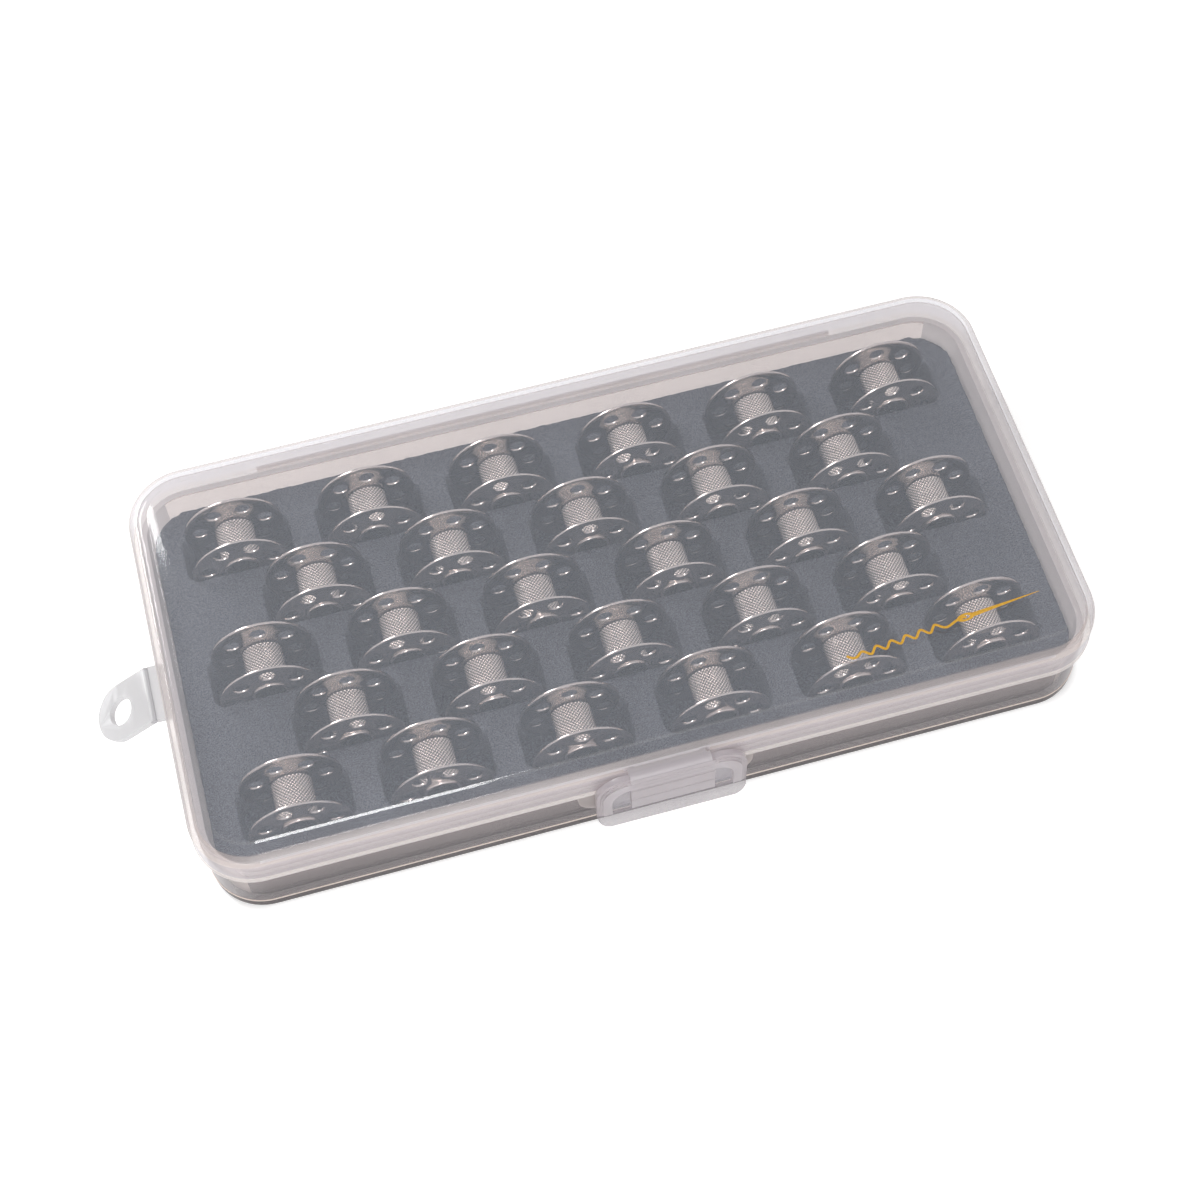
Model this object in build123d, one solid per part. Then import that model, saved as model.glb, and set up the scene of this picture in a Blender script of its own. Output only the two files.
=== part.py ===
from build123d import *
import os

# A flat snap-lid case of translucent polypropylene that stores sewing machine bobbins.
# Millimetres. X runs along the case, Y from the latch (front) to the hinge (back), Z up.
# The origin is the centre of the tray's underside.

# Bobbins: two pressed flanges swaged on a knurled tube
BOBBIN_DIAMETER = 20.3
BOBBIN_LENGTH = 10.2
FLANGE_THICKNESS = 0.45
FLANGE_ROLL = 0.2       # how far the flange's edge is rolled outwards
FLANGE_ROLL_WIDTH = 0.6
HUB_DIAMETER = 8.0
HUB_BORE = 6.0
SPIGOT_WALL = 0.35      # of the tube's end inside the flange
SWAGE_GAP = 0.02        # between spigot and flange
SWAGE_RIM = 0.6         # rolled rim's reach past the flange's hole
SWAGE_HEIGHT = 0.35
SWAGE_BEVEL = 0.2
HOLE_COUNT = 7
HOLE_DIAMETER = 3.2
HOLE_CIRCLE = 14.0
ROWS = (6, 5, 6, 5, 6)  # bobbins in each row, from the back to the front
SPACING_X = 7.64        # between neighbours in a row
SPACING_Y = 4.7         # between rows
SEAT_GAP = 0.1          # under a bobbin
TURN_START = 0.5        # degrees, of the bobbin before the first
TURN_STEP = 35.5        # degrees that each bobbin is turned past the one before

# Foam insert
FOAM_GAP = 0.6          # to the tray's wall
FOAM_FLOOR_GAP = 0.1
FOAM_THICKNESS = 10.3   # of the sheet that the slots are cut through
BACKING = 0.6           # uncut sheet bonded under it, which closes the slots
FOAM_BORDER_X = 5.7     # outside the end slots
FOAM_BORDER_Y = 5.95    # outside the first and last rows
SLOT_SIDE_GAP = 0.9     # beside a bobbin, along X
SLOT_END_GAP = 0.38     # beside its rims, along Y
SLOT_CORNER = 2.0

# Lid
LID_CORNER = 12.0
LID_WALL = 1.3
LID_EDGE = 2.2          # rounding from the lid's top into its skirt
LID_INNER_EDGE = 1.5
PANEL_THICKNESS = 1.2
PANEL_INSET = 3.8       # from the lid's outside to the edge of its raised panel
PANEL_RISE = 0.4
PANEL_EDGE = 0.3
LID_CLEARANCE = 0.5     # over the bobbins

# Tray
TRAY_HEIGHT = 14.6      # up to the shoulder that the lid's skirt stands over
OVERHANG = 1.0          # of the lid's skirt past the tray's wall
TRAY_EDGE = 2.5         # rounding under the tray
FLOOR = 1.0
CAVITY_EDGE = 0.8       # rounding between floor and wall, inside
LIP_WALL = 1.2
LIP_HEIGHT = 2.2
SKIRT_GAP = 0.3         # between the tray's lip and the lid's skirt
SEAM_GAP = 0.2          # between the tray's shoulder and the lid's skirt
BITE = 0.6              # how far an added form reaches into the wall that carries it

# Rear hinge: two ledges that meet at a thin web
HINGE_LENGTH = 125.0
HINGE_STANDOFF = 0.8    # of the web's axis from the lid's skirt
WEB_RADIUS = 0.4
PIVOT_GAP = 0.04        # running clearance of every fold
LEDGE_THICKNESS = 0.7

# Front latch
LATCH_WIDTH = 30.0
LATCH_CORNER = 6.0
LATCH_AXIS_OUT = 1.0    # from the lid's skirt
LATCH_AXIS_DROP = 1.8   # below the lid's rim
LATCH_TOP = 0.6         # plate's top edge, below the axis
LATCH_BOTTOM = 4.5      # lip's edge, over the table
NOSE_RADIUS = 0.8
STRAP_WIDTH = 15.0
STRAP_THICKNESS = 1.2
STRAP_BLOCK_TOP = 2.0   # below the axis
STRAP_BLOCK_BOTTOM = 11.0
STRAP_STEPS = 3         # steps across the block, each thicker than the one above
STRAP_STEP_RISE = 0.25
PLATE_GAP = 0.5         # between the plate and the lid's skirt
PLATE_THICKNESS = 1.2
BORDER_RISE = 0.7
BORDER_WIDTH = 2.4
WINDOW_DEPTH = 0.6
WINDOW_TOP = 5.0        # below the axis
WINDOW_BOTTOM = 10.5
LIP_FLARE = 2.0
LIP_CORNER = 2.8
ROOT_BAR_LOW = 0.2      # underside of the lid's root bar, over the axis
ROOT_BAR_RISE = 1.4     # its top, over the axis
ROOT_BAR_SETBACK = 0.3  # of its face in front of the axis
ROOT_BAR_EDGE = 0.7

# Catch on the tray
LUG_WIDTH = 35.0
LUG_BOTTOM = 6.8
LUG_TOP_GAP = 0.4       # below the tray's shoulder
LUG_THICKNESS = 0.5
LUG_CORNER = 5.0
CATCH_WIDTH = 20.0
CATCH_REACH = 0.5       # of the catch rib in front of the lug
CATCH_BOTTOM = 9.4
CATCH_HEIGHT = 1.6
CATCH_LAND = 0.5        # flat part of the rib's crest and of the hook's
HOOK_GAP = 0.1          # between the catch rib's crest and the latch's hook
HOOK_DROP = 0.2         # of the hook under the rib
HOOK_HEIGHT = 1.6

# Hang tab on the left end
TAB_WIDTH = 12.0
TAB_THICKNESS = 1.4
TAB_REACH = 7.3         # from the fold to the centre of its hole
TAB_HOLE = 5.8
TAB_DROOP = 33.0        # degrees below level
TAB_AXIS_OUT = 4.0      # from the tray's wall
TAB_AXIS_DROP = 0.8     # below the tray's shoulder
TAB_FACE_SETBACK = 0.62  # of the root block's face behind the fold

# Derived sizes and places
PITCH_X = BOBBIN_DIAMETER + SPACING_X
PITCH_Y = BOBBIN_LENGTH + SPACING_Y
SLOT_LENGTH = BOBBIN_DIAMETER + 2 * SLOT_SIDE_GAP
SLOT_WIDTH = BOBBIN_LENGTH + 2 * (SWAGE_GAP + SWAGE_HEIGHT + SLOT_END_GAP)
LIP_INSET = LID_WALL + SKIRT_GAP
CAVITY_INSET = LIP_INSET + LIP_WALL
FOAM_INSET = CAVITY_INSET + FOAM_GAP
CASE_LENGTH = (max(ROWS) - 1) * PITCH_X + SLOT_LENGTH + 2 * (FOAM_BORDER_X + FOAM_INSET)
CASE_DEPTH = (len(ROWS) - 1) * PITCH_Y + SLOT_WIDTH + 2 * (FOAM_BORDER_Y + FOAM_INSET)
SKIRT_BOTTOM = TRAY_HEIGHT + SEAM_GAP
BACKING_LOW = FLOOR + FOAM_FLOOR_GAP
FOAM_LOW = BACKING_LOW + BACKING
FOAM_TOP = FOAM_LOW + FOAM_THICKNESS
AXIS_Z = FOAM_LOW + SEAT_GAP + BOBBIN_DIAMETER / 2
PANEL_UNDERSIDE = AXIS_Z + BOBBIN_DIAMETER / 2 + LID_CLEARANCE
LID_TOP = PANEL_UNDERSIDE + PANEL_THICKNESS
RIM_TOP = LID_TOP - PANEL_RISE
HINGE_Y = CASE_DEPTH / 2 + HINGE_STANDOFF
HINGE_Z = TRAY_HEIGHT + SEAM_GAP / 2
WALL_Y = CASE_DEPTH / 2 - OVERHANG
WALL_X = CASE_LENGTH / 2 - OVERHANG
LATCH_Y = -CASE_DEPTH / 2 - LATCH_AXIS_OUT
LATCH_AXIS_Z = RIM_TOP - LATCH_AXIS_DROP
PLATE_BACK = -CASE_DEPTH / 2 - PLATE_GAP
PLATE_FRONT = PLATE_BACK - PLATE_THICKNESS
LUG_FACE = -WALL_Y - LUG_THICKNESS
CATCH_CREST = LUG_FACE - CATCH_REACH
HOOK_TOP = CATCH_BOTTOM - HOOK_DROP
HOOK_BOTTOM = HOOK_TOP - HOOK_HEIGHT
TAB_X = -WALL_X - TAB_AXIS_OUT
TAB_Z = TRAY_HEIGHT - TAB_AXIS_DROP


def slab(inset, low, high):
    """Plate in the case's rounded plan, moved in from the lid's outside."""
    plan = RectangleRounded(CASE_LENGTH - 2 * inset, CASE_DEPTH - 2 * inset, LID_CORNER - inset)
    return extrude(Pos(0, 0, low) * plan, high - low)


def block(x, y, z):
    """Box between pairs of coordinates."""
    size = (x[1] - x[0], y[1] - y[0], z[1] - z[0])
    return Pos((x[0] + x[1]) / 2, (y[0] + y[1]) / 2, (z[0] + z[1]) / 2) * Box(*size)


def rod_x(radius, length, y, z):
    """Round rod along X."""
    return Pos(0, y, z) * Rot(0, 90, 0) * Cylinder(radius, length)


def rod_y(radius, length, x, z):
    """Round rod along Y."""
    return Pos(x, 0, z) * Rot(90, 0, 0) * Cylinder(radius, length)


def across(points, length):
    """Solid of a profile in (y, z), centred along X."""
    face = make_face(Polyline(*[(0, y, z) for y, z in points], close=True))
    return extrude(face, length / 2, dir=(1, 0, 0), both=True)


def edges_at(solid, z):
    """Edges that lie wholly at one height."""
    return solid.edges().filter_by_position(Axis.Z, z - 0.001, z + 0.001)


def tray():
    """Open box with a stepped-in lip, and all that is moulded on its outside."""
    shell = fillet(edges_at(slab(OVERHANG, 0, TRAY_HEIGHT), 0), TRAY_EDGE)
    shell += slab(LIP_INSET, TRAY_HEIGHT, TRAY_HEIGHT + LIP_HEIGHT)
    cavity = slab(CAVITY_INSET, FLOOR, TRAY_HEIGHT + LIP_HEIGHT)
    cavity = fillet(edges_at(cavity, FLOOR), CAVITY_EDGE)
    return shell - cavity + tray_ledge() + catch_lug() + catch_rib() + tab_root()


def hinge_ledge(wall, low):
    """Ledge from a rear wall out to the fold, hollowed round the hinge's web."""
    x = (-HINGE_LENGTH / 2, HINGE_LENGTH / 2)
    ledge = block(x, (wall - BITE, HINGE_Y), (low, low + LEDGE_THICKNESS))
    return ledge - rod_x(WEB_RADIUS + PIVOT_GAP, HINGE_LENGTH, HINGE_Y, HINGE_Z)


def tray_ledge():
    """Ledge whose top is level with the tray's shoulder."""
    return hinge_ledge(WALL_Y, TRAY_HEIGHT - LEDGE_THICKNESS)


def lid_ledge():
    """Ledge whose underside is level with the lid's skirt."""
    return hinge_ledge(CASE_DEPTH / 2, SKIRT_BOTTOM)


def hinge_web():
    """Thin web along the fold between the two ledges."""
    return rod_x(WEB_RADIUS, HINGE_LENGTH, HINGE_Y, HINGE_Z)


def catch_lug():
    """Flat lug behind the latch, with its lower corners rounded."""
    x = (-LUG_WIDTH / 2, LUG_WIDTH / 2)
    lug = block(x, (LUG_FACE, -WALL_Y + BITE), (LUG_BOTTOM, TRAY_HEIGHT - LUG_TOP_GAP))
    corners = lug.edges().filter_by(Axis.Y).group_by(Axis.Z)[0]
    return fillet(corners, LUG_CORNER)


def catch_rib():
    """Snap rib across the lug: a ramp above, a flat ledge below."""
    root = LUG_FACE + LUG_THICKNESS
    profile = [
        (root, CATCH_BOTTOM),
        (CATCH_CREST, CATCH_BOTTOM),
        (CATCH_CREST, CATCH_BOTTOM + CATCH_LAND),
        (LUG_FACE, CATCH_BOTTOM + CATCH_HEIGHT),
        (root, CATCH_BOTTOM + CATCH_HEIGHT),
    ]
    return across(profile, CATCH_WIDTH)


def tab_root():
    """Block on the tray's left wall that carries the hang tab's fold."""
    half = TAB_THICKNESS / 2
    x = (TAB_X + TAB_FACE_SETBACK, -WALL_X + BITE)
    root = block(x, (-TAB_WIDTH / 2, TAB_WIDTH / 2), (TAB_Z - half, TAB_Z + half))
    return root - rod_y(half + PIVOT_GAP, TAB_WIDTH, TAB_X, TAB_Z)


def lid():
    """Shallow cover with a rounded rim, a raised panel, and its hinge and latch roots."""
    shell = fillet(edges_at(slab(0, SKIRT_BOTTOM, RIM_TOP), RIM_TOP), LID_EDGE)
    panel = slab(PANEL_INSET, RIM_TOP, LID_TOP)
    shell += fillet(edges_at(panel, LID_TOP), PANEL_EDGE)
    hollow = slab(LID_WALL, SKIRT_BOTTOM, PANEL_UNDERSIDE)
    hollow = fillet(edges_at(hollow, PANEL_UNDERSIDE), LID_INNER_EDGE)
    return shell - hollow + lid_ledge() + latch_root()


def latch_root():
    """Bar on the lid's rounded edge, hollowed underneath for the latch's nose."""
    x = (-STRAP_WIDTH / 2, STRAP_WIDTH / 2)
    y = (LATCH_Y - ROOT_BAR_SETBACK, -CASE_DEPTH / 2 + LID_WALL)
    bar = block(x, y, (LATCH_AXIS_Z + ROOT_BAR_LOW, LATCH_AXIS_Z + ROOT_BAR_RISE))
    corner = bar.edges().filter_by(Axis.X).group_by(Axis.Y)[0].sort_by(Axis.Z)[-1]
    bar = fillet(corner, ROOT_BAR_EDGE)
    return bar - rod_x(NOSE_RADIUS + PIVOT_GAP, STRAP_WIDTH, LATCH_Y, LATCH_AXIS_Z)


def arched_plan(margin):
    """Latch's front outline down to its hook, with arched shoulders, moved in by a margin."""
    top = LATCH_AXIS_Z - LATCH_TOP - margin
    sketch = Pos(0, (top + HOOK_BOTTOM) / 2) * Rectangle(LATCH_WIDTH - 2 * margin, top - HOOK_BOTTOM)
    shoulders = sketch.vertices().group_by(Axis.Y)[-1]
    return Plane.XZ * fillet(shoulders, LATCH_CORNER - margin)


def latch():
    """Strap with a round nose, arched plate with a raised border, hook and flared lip."""
    plate = extrude(Pos(0, PLATE_BACK, 0) * arched_plan(0), PLATE_THICKNESS)
    border = Pos(0, PLATE_FRONT, 0) * (arched_plan(0) - arched_plan(BORDER_WIDTH))
    plate += extrude(border, BORDER_RISE)
    plate += strap_block() + finger_lip() + hook()
    return plate - windows() - strap_relief() + strap_neck()


def strap_neck():
    """Nose that turns under the lid's root bar, and the thin strap below it."""
    half = STRAP_THICKNESS / 2
    x = (-STRAP_WIDTH / 2, STRAP_WIDTH / 2)
    z = (LATCH_AXIS_Z - STRAP_BLOCK_TOP, LATCH_AXIS_Z)
    nose = rod_x(NOSE_RADIUS, STRAP_WIDTH, LATCH_Y, LATCH_AXIS_Z)
    return nose + block(x, (LATCH_Y - half, LATCH_Y + half), z)


def strap_relief():
    """Room round the nose, so that the plate clears the lid's root bar."""
    reach = NOSE_RADIUS + LATCH_TOP + PIVOT_GAP
    return rod_x(reach, STRAP_WIDTH + 2 * PIVOT_GAP, LATCH_Y, LATCH_AXIS_Z)


def strap_block():
    """Thick middle of the strap, in steps that grow thicker downwards."""
    x = (-STRAP_WIDTH / 2, STRAP_WIDTH / 2)
    step = (STRAP_BLOCK_BOTTOM - STRAP_BLOCK_TOP) / STRAP_STEPS
    steps = []
    for number in range(STRAP_STEPS):
        high = LATCH_AXIS_Z - STRAP_BLOCK_TOP - number * step
        front = PLATE_FRONT - BORDER_RISE - number * STRAP_STEP_RISE
        steps.append(block(x, (front, PLATE_FRONT), (high - step, high)))
    return Part() + steps


def windows():
    """Sunk field each side of the strap, inside the border."""
    x = (STRAP_WIDTH / 2, LATCH_WIDTH / 2 - BORDER_WIDTH)
    z = (LATCH_AXIS_Z - WINDOW_BOTTOM, LATCH_AXIS_Z - WINDOW_TOP)
    right = block(x, (PLATE_FRONT, PLATE_FRONT + WINDOW_DEPTH), z)
    return right + mirror(right, about=Plane.YZ)


def finger_lip():
    """Lower end of the plate, flared out for a fingertip, with rounded corners."""
    profile = [
        (PLATE_BACK, HOOK_BOTTOM),
        (PLATE_FRONT, HOOK_BOTTOM),
        (PLATE_FRONT - LIP_FLARE, LATCH_BOTTOM),
        (PLATE_BACK - LIP_FLARE, LATCH_BOTTOM),
    ]
    plan = Pos(0, (HOOK_BOTTOM + LATCH_BOTTOM) / 2) * Rectangle(LATCH_WIDTH, HOOK_BOTTOM - LATCH_BOTTOM)
    plan = fillet(plan.vertices().group_by(Axis.Y)[0], LIP_CORNER)
    front = extrude(Pos(0, PLATE_BACK, 0) * (Plane.XZ * plan), PLATE_THICKNESS + LIP_FLARE)
    return across(profile, LATCH_WIDTH) & front


def hook():
    """Rib on the latch's back that stands under the tray's catch."""
    crest = CATCH_CREST - HOOK_GAP
    profile = [
        (PLATE_BACK, HOOK_TOP),
        (crest, HOOK_TOP),
        (crest, HOOK_TOP - CATCH_LAND),
        (PLATE_BACK, HOOK_BOTTOM),
    ]
    return across(profile, CATCH_WIDTH)


def hang_tab():
    """Round-ended tab with a hole, its root rounded into the fold's nose."""
    centre = Pos(-TAB_REACH, 0)
    plan = Pos(-TAB_REACH / 2, 0) * Rectangle(TAB_REACH, TAB_WIDTH)
    plan += centre * Circle(TAB_WIDTH / 2)
    plan -= centre * Circle(TAB_HOLE / 2)
    half = TAB_THICKNESS / 2
    tab = extrude(Pos(0, 0, -half) * plan, TAB_THICKNESS) + rod_y(half, TAB_WIDTH, 0, 0)
    return Pos(TAB_X, 0, TAB_Z) * Rot(0, -TAB_DROOP, 0) * tab


def bobbin_places():
    """Centre of each bobbin, row by row, the short rows set half a pitch in."""
    first = (len(ROWS) - 1) / 2
    for row, count in enumerate(ROWS):
        for column in range(count):
            yield (column - (count - 1) / 2) * PITCH_X, (first - row) * PITCH_Y


def turned(profile):
    """Solid turned about Y from a profile of (radius, distance along the axis)."""
    face = make_face(Polyline(*[(radius, 0, along) for radius, along in profile], close=True))
    return Rot(90, 0, 0) * revolve(face, Axis.Z)


def flange():
    """Front flange: a pressed disc with a rolled edge and a ring of holes."""
    bore = HUB_BORE / 2 + SPIGOT_WALL + SWAGE_GAP
    edge = BOBBIN_DIAMETER / 2
    roll = edge - FLANGE_ROLL_WIDTH
    outside = BOBBIN_LENGTH / 2
    inside = outside - FLANGE_THICKNESS
    profile = [
        (bore, inside),
        (roll, inside),
        (edge, inside + FLANGE_ROLL),
        (edge, outside + FLANGE_ROLL),
        (roll, outside),
        (bore, outside),
    ]
    ring = PolarLocations(HOLE_CIRCLE / 2, HOLE_COUNT) * Circle(HOLE_DIAMETER / 2)
    holes = extrude(Plane.XZ * Pos(0, 0, inside) * (Sketch() + ring), FLANGE_THICKNESS)
    return turned(profile) - holes


def hub():
    """Knurled tube whose thin ends pass through both flanges and are rolled over."""
    shoulder = BOBBIN_LENGTH / 2 - FLANGE_THICKNESS
    seat = BOBBIN_LENGTH / 2 + SWAGE_GAP
    end = seat + SWAGE_HEIGHT
    spigot = HUB_BORE / 2 + SPIGOT_WALL
    rim = spigot + SWAGE_RIM
    profile = [
        (HUB_BORE / 2, 0),
        (HUB_DIAMETER / 2, 0),
        (HUB_DIAMETER / 2, shoulder),
        (spigot, shoulder),
        (spigot, seat),
        (rim, seat),
        (rim - SWAGE_BEVEL, end),
        (HUB_BORE / 2, end),
    ]
    front = turned(profile)
    return front + mirror(front, about=Plane.XZ)


def bobbin():
    """Front flange, back flange and hub, with the axis along Y through the origin."""
    front = flange()
    return [front, mirror(front, about=Plane.XZ), hub()]


def foam():
    """Sheet of foam with a slot die-cut through it for each bobbin."""
    slot = RectangleRounded(SLOT_LENGTH, SLOT_WIDTH, SLOT_CORNER)
    slots = Sketch() + [Pos(x, y) * slot for x, y in bobbin_places()]
    return slab(FOAM_INSET, FOAM_LOW, FOAM_TOP) - extrude(Pos(0, 0, FOAM_LOW) * slots, FOAM_THICKNESS)


def foam_backing():
    """Uncut sheet bonded under the slotted one, which closes the slots."""
    return slab(FOAM_INSET, BACKING_LOW, FOAM_LOW)


def save(name, *pieces):
    """Write one node, with every solid of its pieces."""
    solids = [solid for piece in pieces for solid in piece.solids()]
    node = solids[0] if len(solids) == 1 else Compound(children=solids)
    export_step(node, f"parts/{name}.step")


def main():
    """Build the case and its contents, one file for each node."""
    os.makedirs("parts", exist_ok=True)
    save("tray", tray())
    save("lid", lid())
    save("rear_hinge_web", hinge_web())
    save("front_latch", latch())
    save("hang_tab", hang_tab())
    save("foam_insert", foam())
    save("foam_backing", foam_backing())
    pieces = bobbin()
    for number, (x, y) in enumerate(bobbin_places(), start=1):
        place = Pos(x, y, AXIS_Z) * Rot(0, TURN_START + TURN_STEP * number, 0)
        save(f"bobbin_{number:02d}", *[place * piece for piece in pieces])


main()
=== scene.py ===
# %% [markdown]
# # A bobbin case in translucent polypropylene
# The case is a shallow tray with a hinged lid, a snap latch, a hang tab, a sheet of foam
# and 28 metal bobbins on edge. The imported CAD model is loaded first. It fixes the main
# sizes and every joint, and most of the pieces made below take the place of its nodes.

# %% Load the frame
import math

import bmesh
import bpy
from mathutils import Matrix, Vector


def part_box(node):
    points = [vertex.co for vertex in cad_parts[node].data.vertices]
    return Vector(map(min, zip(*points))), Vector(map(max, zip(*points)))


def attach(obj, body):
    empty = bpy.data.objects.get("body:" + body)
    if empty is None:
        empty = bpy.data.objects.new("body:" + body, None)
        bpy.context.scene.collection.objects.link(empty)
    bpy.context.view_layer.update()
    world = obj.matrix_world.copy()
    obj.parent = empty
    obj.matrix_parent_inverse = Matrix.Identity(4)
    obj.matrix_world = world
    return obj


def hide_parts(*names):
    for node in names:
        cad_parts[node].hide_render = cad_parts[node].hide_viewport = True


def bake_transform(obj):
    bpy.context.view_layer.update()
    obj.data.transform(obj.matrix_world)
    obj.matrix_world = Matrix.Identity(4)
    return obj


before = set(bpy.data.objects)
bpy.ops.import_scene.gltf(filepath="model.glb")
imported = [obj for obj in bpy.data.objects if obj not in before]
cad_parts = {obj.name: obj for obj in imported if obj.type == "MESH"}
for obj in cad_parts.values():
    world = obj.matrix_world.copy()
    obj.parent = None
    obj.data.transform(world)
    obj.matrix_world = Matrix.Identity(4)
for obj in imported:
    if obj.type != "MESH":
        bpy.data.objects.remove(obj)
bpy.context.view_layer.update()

# %% [markdown]
# ## Working in edit mode from a script
# A script does what a hand does: it adds a primitive, goes into edit mode, picks faces or
# edges by where they are, and runs one operator on them. These helpers do the picking.
# Sizes are written in millimetres, as on a drawing, and turned to metres in one place.

# %% Helpers for objects
MM = 0.001
NEAR = 0.01     # mm, how close two places are when they count as one


def deselect_all():
    """Leave edit mode and drop the selection, so that an operator acts on one piece only."""
    if bpy.context.object and bpy.context.object.mode != "OBJECT":
        bpy.ops.object.mode_set(mode="OBJECT")
    bpy.ops.object.select_all(action="DESELECT")


def activate(piece):
    """Make one piece the selected and active one."""
    deselect_all()
    bpy.context.view_layer.objects.active = piece
    piece.select_set(True)


def edit(piece):
    """Go into edit mode on one piece."""
    activate(piece)
    bpy.ops.object.mode_set(mode="EDIT")


def bake_place():
    """Move the active piece's place, turn and scale into its mesh."""
    bpy.ops.object.transform_apply(location=True, rotation=True, scale=True)


def join(target, parts):
    """Join parts to one target, which keeps its name."""
    activate(target)
    for part in parts:
        part.select_set(True)
    bpy.ops.object.join()


print("sizes are in steps of", MM, "m")

# %% Helpers for primitives


def block(name, low, high):
    """A cube sized and placed between two corners, in millimetres."""
    deselect_all()
    size = [(b - a) * MM for a, b in zip(low, high)]
    centre = [(a + b) / 2 * MM for a, b in zip(low, high)]
    bpy.ops.mesh.primitive_cube_add(size=1, location=centre, scale=size)
    bpy.context.object.name = name
    bake_place()
    return bpy.context.object


def rod(name, radius, length, centre, axis="Z", sides=32):
    """A cylinder along X, Y or Z, in millimetres."""
    deselect_all()
    turn = {"X": (0, math.pi / 2, 0), "Y": (math.pi / 2, 0, 0), "Z": (0, 0, 0)}[axis]
    bpy.ops.mesh.primitive_cylinder_add(
        vertices=sides, radius=radius * MM, depth=length * MM,
        location=[c * MM for c in centre], rotation=turn)
    bpy.context.object.name = name
    bake_place()
    return bpy.context.object


print("primitives: block and rod")

# %% Helpers that pick faces and edges


def pick_faces(piece, test):
    """Select the faces whose centre (mm) and normal pass a test."""
    bpy.ops.mesh.select_mode(type="FACE")
    bpy.ops.mesh.select_all(action="DESELECT")
    mesh = bmesh.from_edit_mesh(piece.data)
    for face in mesh.faces:
        face.select_set(test(face.calc_center_median() / MM, face.normal))
    bmesh.update_edit_mesh(piece.data)


def pick_edges(piece, test):
    """Select the edges whose two ends (mm) pass a test."""
    bpy.ops.mesh.select_mode(type="EDGE")
    bpy.ops.mesh.select_all(action="DESELECT")
    mesh = bmesh.from_edit_mesh(piece.data)
    for edge in mesh.edges:
        edge.select_set(test(*(vertex.co / MM for vertex in edge.verts)))
    bmesh.update_edit_mesh(piece.data)


def level(z):
    """A test for edges that lie at one height."""
    return lambda a, b: abs(a.z - z) < NEAR and abs(b.z - z) < NEAR


def upright(a, b):
    """A test for vertical edges."""
    return abs(a.z - b.z) > 0.5 and (a.xy - b.xy).length < NEAR


print("edges are picked to", NEAR, "mm")

# %% Helpers that shape what is picked


def round_edges(radius, segments):
    """Bevel the selected edges."""
    bpy.ops.mesh.bevel(offset=radius * MM, segments=segments, affect="EDGES")


def inset(width):
    """Inset the selected face."""
    bpy.ops.mesh.inset(thickness=width * MM, use_even_offset=True)


def push(x, y, z):
    """Extrude the selected face by a step in millimetres."""
    bpy.ops.mesh.extrude_region_move(TRANSFORM_OT_translate={"value": (x * MM, y * MM, z * MM)})


def slide(x, y, z):
    """Move what is selected by a step in millimetres."""
    bpy.ops.transform.translate(value=(x * MM, y * MM, z * MM))


def thicken(rise):
    """Extrude the selected faces straight out of their wall."""
    bpy.ops.mesh.extrude_region_shrink_fatten(TRANSFORM_OT_shrink_fatten={"value": rise * MM})


def score(height):
    """Run a loop of new edges round the piece at one height."""
    bpy.ops.mesh.select_all(action="SELECT")
    bpy.ops.mesh.bisect(plane_co=(0, 0, height * MM), plane_no=(0, 0, 1))


print("shaping: bevel, inset, extrude, move, thicken and score")

# %% Helpers for whole pieces


def combine(piece, tool, how="UNION"):
    """Join or cut one closed piece with another, and drop the tool."""
    activate(piece)
    step = piece.modifiers.new("combine", "BOOLEAN")
    step.operation, step.object, step.solver = how, tool, "EXACT"
    bpy.ops.object.modifier_apply(modifier=step.name)
    bpy.data.objects.remove(tool, do_unlink=True)


def soften(piece, radius, segments=2, angle=40):
    """Round the edges sharper than an angle, as a mould or a punch leaves them."""
    activate(piece)
    step = piece.modifiers.new("soften", "BEVEL")
    step.width, step.segments = radius * MM, segments
    step.limit_method, step.angle_limit = "ANGLE", math.radians(angle)
    bpy.ops.object.modifier_apply(modifier=step.name)


def smooth(piece, angle=35):
    """Shade smooth, but keep edges sharper than an angle."""
    activate(piece)
    bpy.ops.object.shade_smooth_by_angle(angle=math.radians(angle))
    deselect_all()
    print(f"{piece.name}: {len(piece.data.polygons)} faces")


print("whole pieces: combine, soften and smooth")

# %% [markdown]
# ## The camera
# The case is seen from high in front of its left half, and turned a little in the frame. A
# fairly long lens from about 450 mm away keeps its sides nearly parallel.

# %% Camera
CAMERA_PLACE = (-50.05, -209.36, 389.80)
CAMERA_TURN = (29.2886, 1.2479, -15.3894)
CAMERA_LENS = 64.40
deselect_all()
bpy.ops.object.camera_add(
    location=[c * MM for c in CAMERA_PLACE], rotation=[math.radians(a) for a in CAMERA_TURN])
camera = bpy.context.object
camera.name = "camera"
camera.data.lens = CAMERA_LENS
camera.data.sensor_width = 36
camera.data.clip_start = 0.01
scene = bpy.context.scene
scene.camera = camera
scene.view_settings.view_transform = "Standard"
print("camera is", round(camera.location.length / MM), "mm from the case")

# %% [markdown]
# ## Colours and nodes
# A screen colour is written as a hex value, as a designer would pick it, but shaders count
# light, so one function turns it to linear. A second one adds a node, fills in its sockets
# or a ramp's colour stops, and links it, so each material below is a short list of nodes.

# %% Helpers for materials


def colour(text):
    """An sRGB hex colour as the linear one that shaders use."""
    parts = [int(text[i:i + 2], 16) / 255 for i in (0, 2, 4)]
    return (*(p / 12.92 if p <= 0.04045 else ((p + 0.055) / 1.055) ** 2.4 for p in parts), 1.0)


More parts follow.
